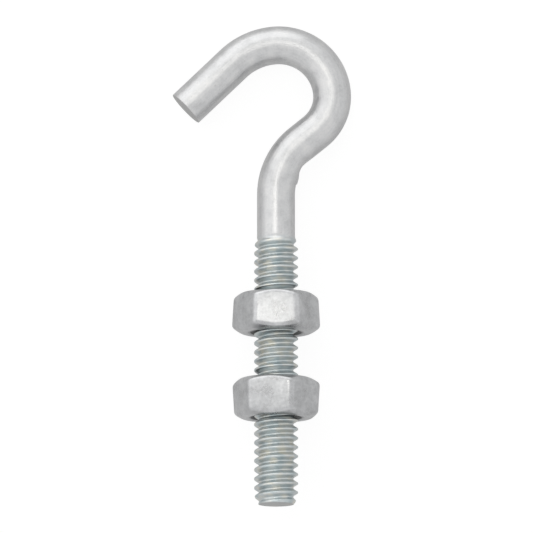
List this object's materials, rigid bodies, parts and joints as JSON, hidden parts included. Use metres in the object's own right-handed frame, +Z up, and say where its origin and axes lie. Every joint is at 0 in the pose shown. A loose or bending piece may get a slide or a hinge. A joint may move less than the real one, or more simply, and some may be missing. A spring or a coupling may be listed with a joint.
{
  "type": "hook bolt",
  "caption": "Threaded shank bent to an open hook, with hex nuts that clamp it through a panel or bracket.",
  "frame": {"origin": "on the floor, under the middle of the whole bolt's box", "axes": "+Y along the shank from the thread's end to the hook, +X to the side that the hook's loop bulges to, +Z up from the floor that the bolt lies on"},
  "size_m": [0.0252, 0.0676, 0.012],
  "materials": {
    "zinc_rod": "bright zinc plating, satin",
    "zinc_nut": "bright zinc plating, lightly mottled"
  },
  "bodies": {
    "bolt": {"hook_bolt": "zinc_rod"},
    "upper_nut": {"upper_nut": "zinc_nut"},
    "lower_nut": {"lower_nut": "zinc_nut"}
  },
  "joints": [
    {"name": "upper_nut_travel", "type": "slide", "parent": "bolt", "child": "upper_nut", "axis": [0, 0.9974, -0.0714], "range_m": [-0.00254, 0.00508]},
    {"name": "lower_nut_travel", "type": "slide", "parent": "bolt", "child": "lower_nut", "axis": [0, 0.9974, -0.0714], "range_m": [-0.01016, 0.00254]}
  ]
}
